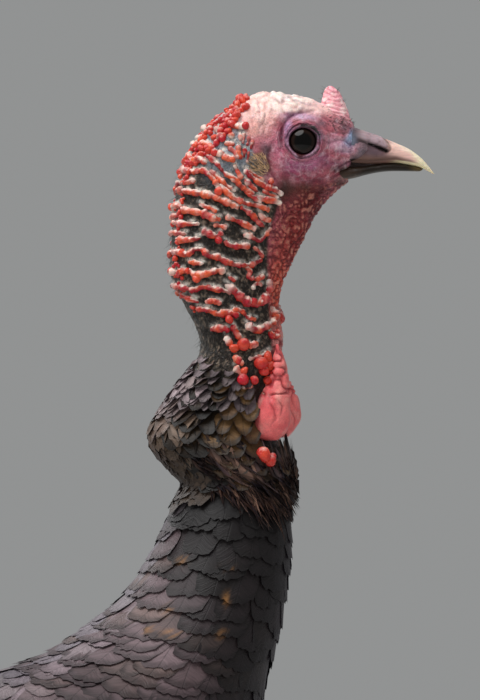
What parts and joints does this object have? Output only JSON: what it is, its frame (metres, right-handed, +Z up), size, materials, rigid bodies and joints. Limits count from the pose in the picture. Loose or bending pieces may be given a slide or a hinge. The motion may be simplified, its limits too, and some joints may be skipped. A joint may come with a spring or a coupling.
{
  "type": "wild turkey",
  "caption": "Life-size wild turkey gobbler standing alert, neck raised, wings folded and tail closed.",
  "frame": {"origin": "on the ground under the middle of the whole bird's box", "axes": "+Z up, +X the way the bird faces, +Y its left side"},
  "size_m": [0.8318, 0.2754, 0.9407],
  "materials": {
    "skin": "bare head skin, damp satin",
    "caruncle": "beaded red skin, damp satin",
    "plumage": "dark body feathers with a bronze sheen",
    "wing": "dark flight feathers barred with white",
    "tail": "chestnut feathers finely barred with black",
    "horn": "satin horn",
    "eye": "wet, very dark brown",
    "leg": "scaled, satin",
    "claw": "dark horn",
    "bristle": "coarse black bristles"
  },
  "bodies": {
    "root": {"head": "skin", "neck_upper": "caruncle", "neck_ruff": "plumage", "neck_lower": "plumage", "trunk": "plumage", "eye_left": "eye", "eye_right": "eye", "bill_upper": "horn", "bill_lower": "horn", "snood": "skin", "lobe_right": "skin", "lobe_left": "skin", "wing_left": "wing", "wing_right": "wing", "tail": "tail", "beard": "bristle", "thigh_right": "plumage", "shank_right": "leg", "foot_right": "leg", "spur_right": "claw", "claw_middle_right": "claw", "claw_inner_right": "claw", "claw_outer_right": "claw", "claw_hind_right": "claw", "thigh_left": "plumage", "shank_left": "leg", "foot_left": "leg", "spur_left": "claw", "claw_middle_left": "claw", "claw_inner_left": "claw", "claw_outer_left": "claw", "claw_hind_left": "claw"}
  },
  "joints": []
}
